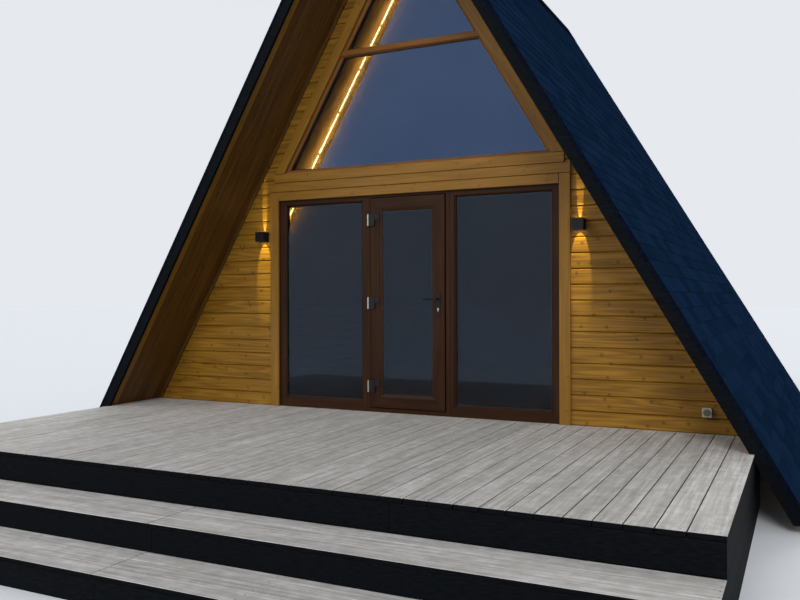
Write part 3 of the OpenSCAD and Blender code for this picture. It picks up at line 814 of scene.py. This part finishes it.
def make_gable_window():
    """Two sashes, a trapezium under a triangle, with a cover batten over the joint between them."""
    bar0, bar1 = (DECK + z for z in TRANSOM)
    split = (bar0 + bar1) / 2
    hide = GABLE_W + FRAME_HIDE
    inner = GABLE_W - GABLE_FRAME_W / SIN
    joint, batten_w, batten_t, arris = 0.0005, 0.050, 0.012, 0.003
    openings = [gable_outline(inner, SILL + GABLE_FRAME_W, bar0), gable_outline(inner, bar1)]
    outers = [gable_outline(hide, SILL, split - joint), gable_outline(hide, split + joint)]
    limits = [lambda a, b: -gable_half(GABLE_W, a), lambda a, b: gable_half(GABLE_W, a)]
    batten = bars(plank(batten_w, batten_t, arris), [split - batten_w / 2], *limits, X, Z, -Y,
                  (0, FACADE + FRAME_FRONT - batten_t, 0), 152)
    parts = [part for outer, opening, seed in zip(outers, openings, (150, 151))
             for part in glazed(outer, opening, SASH_MEMBER, FIXED_GLASS, seed)]
    piece("gable_sashes", parts + [batten], [sash_stain, gasket_rubber], "golden_pine", "gable_window_frame")
    glaze("gable_units", openings, FIXED_GLASS, gable_glass, "gable_window_glass")


def make_socket():
    """Outdoor socket: a box with round corners and eased edges, and a domed round lid with a finger grip."""
    lo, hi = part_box("outdoor_socket")
    x, z = (lo.x + hi.x) / 2, (lo.z + hi.z) / 2
    box_t, corner_r, lid_t, lid_r, ease = 0.040, 0.009, 0.006, 0.029, 0.003
    grip_half, grip_r, grip_drop = 0.010, 0.003, 0.0174
    plate = rounded_rect(lo, hi, corner_r)
    lid = arc(x, z, lid_r, 0, 350, 36)
    grip = np.concatenate([arc(x + s * grip_half, z - grip_drop, grip_r, start, start + 180, 9)
                           for s, start in ((1, -90), (-1, 90))])
    box = raised(plate, FACADE, -1, [(0, 0), (box_t - ease, 0), (box_t - 0.001, 0.001), (box_t, ease)])
    dome_steps = [(-0.001, 0), (lid_t - 0.003, 0), (lid_t - 0.001, 0.001), (lid_t - 0.0004, 0.004)]
    dome = raised(lid, FACADE - box_t, -1, dome_steps, 1)
    lip = raised(grip, FACADE - box_t, -1, [(0.004, 0), (lid_t, 0.001)], 1)
    piece("socket_box", [box, dome, lip], [socket_plastic, lid_plastic], "socket_shell", "outdoor_socket")


def drive_screws(name, *grids):
    """Eight-sided screw heads, 9 mm wide and 0.4 mm proud, at every x and y of each grid (x, y, z)."""
    circle = np.insert(arc(0, 0, 0.0045, 0, 315, 8), 2, 0, 1)
    places = [np.stack(np.meshgrid(*grid, indexing="ij"), -1).reshape(-1, 1, 1, 3) for grid in grids]
    points = np.concatenate(places) + np.array([-0.001, 0.0004])[:, None, None] * Z + circle
    piece(name, [prisms(points, points)], [screw_steel], "flashing_metal")


# Places of the joists' centre lines in front of the facade, and of the step bearers' centre planes
JOISTS = np.array([-2.932, -2.325, -1.725, -1.125, -0.525, -0.025])
BEARERS = np.array([-3.053, -0.886, 0.886, 3.053])
TREAD = 0.433
LIP = 0.010
BOARD_T = 0.028
# Faces of a plank that are painted black, by number: both of its sides
PAINTED = np.array([0, 1, 0, 0, 0, 0, 0, 1])


def make_deck():
    """Deck boards from front to back: the outer board is wider, the rest are laid at one pitch from it, and
    two screws hold each board to each joist. Sides and ends are painted."""
    pitch, wide, gap, arris = 0.150, 0.177, 0.006, 0.003
    start = DECK_X - wide
    edges = np.arange(start, -DECK_X - 0.01, -pitch)
    last = edges[-2] + DECK_X - gap
    courses = ((wide, [start]), (pitch - gap, edges[1:-1]), (last, [-DECK_X]))
    parts = [bars(plank(width, BOARD_T, arris), place, DECK_FRONT, FACADE, Y, X, Z, (0, 0, DECK), 160 + i,
                  PAINTED, 1) for i, (width, place) in enumerate(courses)]
    piece("deck_planks", parts, [weathered_larch, black_timber], "decking", "deck_boards")
    from_edge = 0.030
    other_edges = np.append(edges[1:-1] + pitch - gap, start + wide)
    x = np.concatenate([edges[:-1] + from_edge, other_edges - from_edge])
    drive_screws("deck_screws", (x, FACADE + JOISTS, DECK))


def halves(joint, gap):
    """Both lengths of a row of boards from side to side, with a butt joint."""
    return (-DECK_X, joint - gap / 2), (joint + gap / 2, DECK_X)


def make_steps():
    """Step boards from side to side, three to a step, each row in two lengths, with painted edges."""
    lo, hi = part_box("step_boards")
    gap, rows, joint_x, joint, from_edge = 0.005, 3, -0.050, 0.004, 0.030
    width = (TREAD - LIP + gap) / rows - gap
    profile = plank(width, BOARD_T, 0.003)
    parts, screws = [], []
    for step, (front, top) in enumerate(((lo.y, lo.z + BOARD_T), (lo.y + TREAD, hi.z))):
        firsts = front + (width + gap) * np.arange(rows)
        for span, seed in zip(halves(joint_x, joint), (170, 174)):
            parts.append(bars(profile, firsts, *span, X, Y, Z, (0, 0, top), seed + step, PAINTED, 1))
        screws.append((BEARERS, np.append(firsts + from_edge, firsts + width - from_edge), top))
    piece("step_planks", parts, [weathered_larch, black_timber], "decking", "step_boards")
    drive_screws("step_screws", *screws)


def make_fascias():
    """Black boards round the deck and steps, each face in boards of equal height with butt joints."""
    arris, gap, rows, joint, fascia_joint, riser_joint, rim_t = 0.003, 0.002, 3, 0.003, 1.309, -0.015, 0.012
    y0 = low("base_fascia").y
    height = (DECK - BOARD_T) / rows
    board = plank(height - gap, BOARD_T, arris)
    levels = height * np.arange(rows)
    parts = [bars(board, levels, *span, X, Z, -Y, (0, y0, 0), seed)
             for span, seed in zip(halves(fascia_joint, joint), (180, 181))]
    parts += [turn(bars(board, levels, y0 + BOARD_T + 0.001, FACADE, Y, Z, X, (DECK_X, 0, 0), seed))
              for (_, turn), seed in zip(SIDES, (182, 183))]
    # Behind, two boards below the floor and a thin one over its edge
    edge_z = low("cabin_floor").z
    skirt = (edge_z - FOOT_Z) / 2
    limits = [lambda a, b: -roof_half(PANEL_D, a), lambda a, b: roof_half(PANEL_D, a)]
    for height, thick, places, y, seed in ((skirt, BOARD_T, FOOT_Z + skirt * np.arange(2), REAR, 184),
                                           (DECK - edge_z, rim_t, [edge_z], REAR + rim_t, 185)):
        parts.append(bars(plank(height - gap, thick, arris), places, *limits, X, Z, Y, (0, y, 0), seed))
    piece("base_boards", parts, [black_timber], "black_timber", "base_fascia")
    lo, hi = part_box("step_risers")
    risers = [bars(plank(z, BOARD_T, arris), [0], *span, X, Z, -Y, (0, y, 0), seed)
              for y, z in ((lo.y, low("step_boards").z), (lo.y + TREAD, hi.z))
              for span, seed in zip(halves(riser_joint, joint), (186, 187))]
    piece("riser_boards", risers, [black_timber], "black_timber", "step_risers")


def shine(name, kind, place, towards, across, power, colour="#FFDFA2"):
    """Lamp at place that shines towards a direction, with its width along across. It is not itself seen."""
    data = bpy.data.lights.new(name, kind)
    data.energy = power
    data.color = linear(colour)[:3]
    lamp = linked(name, data)
    back = -np.asarray(towards) / np.linalg.norm(towards)
    columns = np.stack([across, np.cross(back, across), back, place], 1)
    lamp.matrix_world = Matrix([*columns.tolist(), (0, 0, 0, 1)])
    lamp.visible_camera = lamp.visible_transmission = lamp.visible_glossy = False
    return data


def graze(name, place, up, half_angle, power):
    """Beam along the front wall: a cone whose outer side meets the wall 1.2 m away and whose inner side
    meets it near the lamp, so that it draws a long ellipse. Its light weakens only with the slant."""
    reach = 1.2
    half = math.radians(half_angle)
    lean = half + math.atan((FACADE - place[1]) / reach)
    data = shine(name, "SPOT", place, (0, math.sin(lean), up * math.cos(lean)), X, power, "#FFF0AC")
    data.spot_size = 2 * half
    data.spot_blend = 0.1
    data.shadow_soft_size = 0.002
    data.use_nodes = True
    tree = data.node_tree
    tree.links.new(add(tree, "LightFalloff", (1.0,), "Constant"), tree.nodes["Emission"].inputs["Strength"])


def make_wall_lights():
    """An opal lens in each end of the cube lights. Each throws a broad beam down and a narrow one up."""
    lo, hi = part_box("wall_lights")
    # Lenses are 9 mm deep in the cube, and beams start at two places off the wall
    half, rim, deep, lens_t, below, above, clear = 0.050, 0.006, 0.009, 0.003, 0.040, 0.010, 0.001
    x = hi.x - half
    profile = rect(rim - half, half - rim, 0, lens_t)
    lenses = [turn(bars(profile, [x], FACADE - 2 * half + rim, FACADE - rim, Y, X, Z, (0, 0, z)))
              for z in (lo.z + deep, hi.z - deep - lens_t) for _, turn in SIDES]
    piece("lamp_lenses", lenses, [lens_glow], "light_diffuser")
    for side in (-1, 1):
        graze("down_beam", (side * x, FACADE - below, lo.z - clear), -1, 31, 300)
        graze("up_beam", (side * x, FACADE - above, hi.z + clear), 1, 20, 1100)


def make_light_strip():
    """Lit strip up the left slope of the room: a back plate, opal covers half a metre long, and dull joints
    between them. Two long lamps off it light the boards round it, and one lights the room."""
    lo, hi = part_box("led_strip")
    width = hi.y - lo.y
    plate_t, cover_t, edge_r, bridge_t = 0.003, 0.007, 0.003, 0.006
    pitch, joint, first_cover, foot_clear, top_clear = 0.500, 0.030, 0.100, 0.010, 0.030
    start = level_cut(LINING_D, lo.z) + foot_clear
    end = ridge_cut(LINING_D) - top_clear
    first = np.arange(start + first_cover + joint - pitch, end - joint, pitch)[:, None]
    first, last = np.clip([first, first + pitch - joint], start, end)
    under = np.zeros(len(first))
    cover = plank(width, cover_t, edge_r, 4) + (0, plate_t + cover_t)
    bridge = rect(0, width, plate_t, plate_t + bridge_t)
    face = FOOT - OUT * LINING_D + lo.y * Y
    parts = [bars(rect(0, width, 0, plate_t), [0], start, end, UP, Y, -OUT, face, 1, 1, 1),
             bars(cover, under, first, last, UP, Y, -OUT, face, 2),
             bars(bridge, under[1:], last[:-1], first[1:], UP, Y, -OUT, face, 3, 1, 1)]
    piece("lit_strip", [mirrored(p) for p in parts], [strip_glow, lid_plastic], "light_diffuser",
          "led_strip")
    flip = np.array([-1, 1, 1])
    middle = face + UP * (start + end) / 2 + Y * width / 2
    for name, off, way, power in (("near_wash", 0.035, 1, 10.0), ("far_wash", 0.12, 1, 48.0),
                                  ("room_light", 0.03, -1, 8.0)):
        data = shine(name, "AREA", (middle - OUT * off) * flip, way * OUT * flip, UP * flip, power)
        data.shape = "RECTANGLE"
        data.size, data.size_y = end - start, 0.01


make_front_walls()
make_rear_wall()
make_linings()
make_floor()
make_soffits()
make_shingles()
make_flashings()
make_casings()
make_entrance()
make_door()
make_hinges()
make_handle_plates()
make_gable_window()
make_socket()
make_deck()
make_steps()
make_fascias()
make_wall_lights()
make_light_strip()


def make_studio():
    """Pale floor, three soft lamps, and a dome that camera, mirror and glass rays see as plain backdrop."""
    half, below = 120.0, -0.001
    mesh = bpy.data.meshes.new("studio_floor")
    mesh.from_pydata(np.insert(rect(-half, half, -half, half), 2, below, 1).tolist(), [], [(0, 1, 2, 3)])
    mesh.materials.append(material("studio_paper", Base_Color=linear("#DADDE0"), Roughness=0.9)[0])
    linked("studio_floor", mesh)
    world = bpy.data.worlds.new("studio")
    world.use_nodes = True
    bpy.context.scene.world = world
    tree = world.node_tree
    dome = tree.nodes["Background"]
    dome.inputs["Color"].default_value = linear("#F1F4FA")
    dome.inputs["Strength"].default_value = 0.62
    back = add(tree, "Background", (linear("#E6E9EE"), 1.0))
    path = add(tree, "LightPath").node.outputs
    seen = path["Is Camera Ray"]
    for ray in ("Is Transmission Ray", "Is Glossy Ray"):
        seen = add(tree, "Math", (seen, path[ray]), operation="MAXIMUM")
    mix = add(tree, "MixShader", (seen, dome.outputs[0], back))
    tree.links.new(mix, tree.nodes["World Output"].inputs["Surface"])
    for name, strength, angles in (("key", 1.5, (58, 0, 18)), ("fill", 0.7, (62, 0, -50)),
                                   ("back", 0.8, (50, 0, 190))):
        data = bpy.data.lights.new(name, "SUN")
        data.energy = strength
        data.angle = math.radians(25)
        linked(name, data).rotation_euler = [math.radians(a) for a in angles]
    bpy.context.scene.view_settings.view_transform = "Standard"


make_studio()
